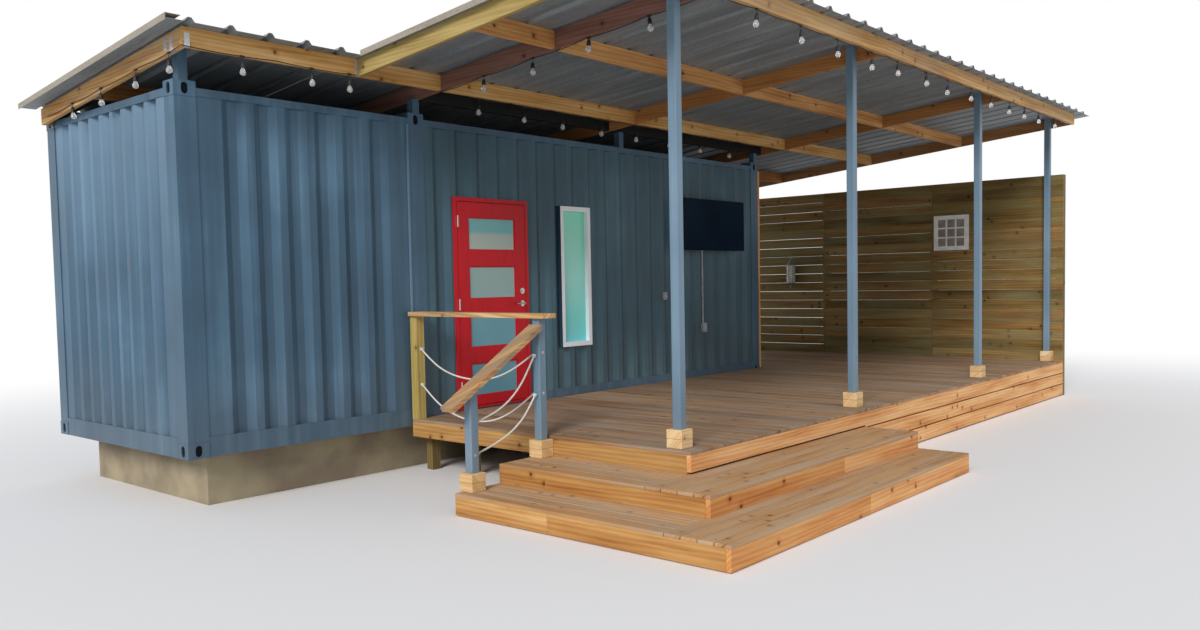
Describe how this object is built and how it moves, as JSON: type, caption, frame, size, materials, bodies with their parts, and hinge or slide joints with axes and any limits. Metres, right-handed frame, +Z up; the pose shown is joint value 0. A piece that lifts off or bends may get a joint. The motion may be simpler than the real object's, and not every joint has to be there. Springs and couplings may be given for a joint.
{
  "type": "shipping container cabin with covered deck",
  "caption": "Corrugated steel container cabin with a hinged glazed door, narrow window, timber deck with wrap-around steps, board screen and ribbed skillion roof",
  "frame": {"origin": "centre of the footprint on the ground", "axes": "+X along the front to the right, +Y to the back, +Z up"},
  "size_m": [11.82, 6.558, 3.9488],
  "materials": {
    "black_cable": "matt black",
    "black_plastic": "satin black",
    "container_steel": "satin slate-blue paint",
    "deck_timber": "oiled, weathered",
    "floor_plywood": "varnished plywood",
    "frosted_glass": "frosted",
    "lantern_metal": "weathered grey paint",
    "masonry": "rendered masonry, matt",
    "post_steel": "satin slate-blue paint",
    "red_paint": "semi-gloss red paint",
    "roof_sheet": "galvanised, slightly weathered",
    "roof_timber": "bare pine",
    "rope": "white braided rope",
    "satin_nickel": "satin",
    "screen_timber": "stained, matt",
    "stair_timber": "bare treated pine",
    "teal_glass": "tinted",
    "white_frame": "white powder coat",
    "white_paint": "white paint on wood"
  },
  "bodies": {
    "cabin": {"container_floor": "floor_plywood", "container_roofs": "container_steel", "corner_board": "roof_timber", "corner_posts": "container_steel", "cross_beams": "roof_timber", "deck_bearers": "stair_timber", "deck_boards": "deck_timber", "deck_front_and_back_boards": "stair_timber", "deck_legs": "stair_timber", "deck_side_boards": "stair_timber", "door_head_and_sill": "red_paint", "door_jambs": "red_paint", "end_walls": "container_steel", "floor_crossmembers": "container_steel", "foundation_end_walls": "masonry", "foundation_long_walls": "masonry", "front_wall_left": "container_steel", "front_wall_over_door": "container_steel", "front_wall_right": "container_steel", "hinge_jamb_halves": "satin_nickel", "landing_rope_lower": "rope", "landing_rope_upper": "rope", "left_roof_sheet": "roof_sheet", "level_rail": "stair_timber", "light_cables": "black_cable", "long_rails": "container_steel", "lower_step_front": "stair_timber", "lower_step_left": "stair_timber", "main_roof_sheet": "roof_sheet", "middle_step_front": "stair_timber", "middle_step_left": "stair_timber", "outdoor_television": "black_plastic", "pane_frame": "white_paint", "post_blocks": "roof_timber", "rafters": "roof_timber", "rail_wall_post": "stair_timber", "rear_walls": "container_steel", "roof_edge_beams": "roof_timber", "roof_flashings": "roof_sheet", "roof_stubs": "post_steel", "rope_knots": "rope", "screen_boards": "screen_timber", "screen_posts": "roof_timber", "seam_strips": "container_steel", "short_front_wall": "container_steel", "short_rails": "container_steel", "sloping_rail": "stair_timber", "stair_rope_lower": "rope", "stair_rope_upper": "rope", "steel_posts": "post_steel", "step_legs": "stair_timber", "wall_lantern": "lantern_metal", "wall_line_beams": "roof_timber", "window_frame": "white_frame", "window_glass": "teal_glass"},
    "door": {"door_leaf": "red_paint", "door_glass": "frosted_glass", "door_lockset": "satin_nickel", "hinge_leaf_halves": "satin_nickel"}
  },
  "joints": [
    {"name": "door_hinge", "type": "hinge", "parent": "cabin", "child": "door", "pos_m": [-2.882, 0.825, 0.503], "axis": [0, 0, -1], "range_deg": [0, 105]}
  ]
}
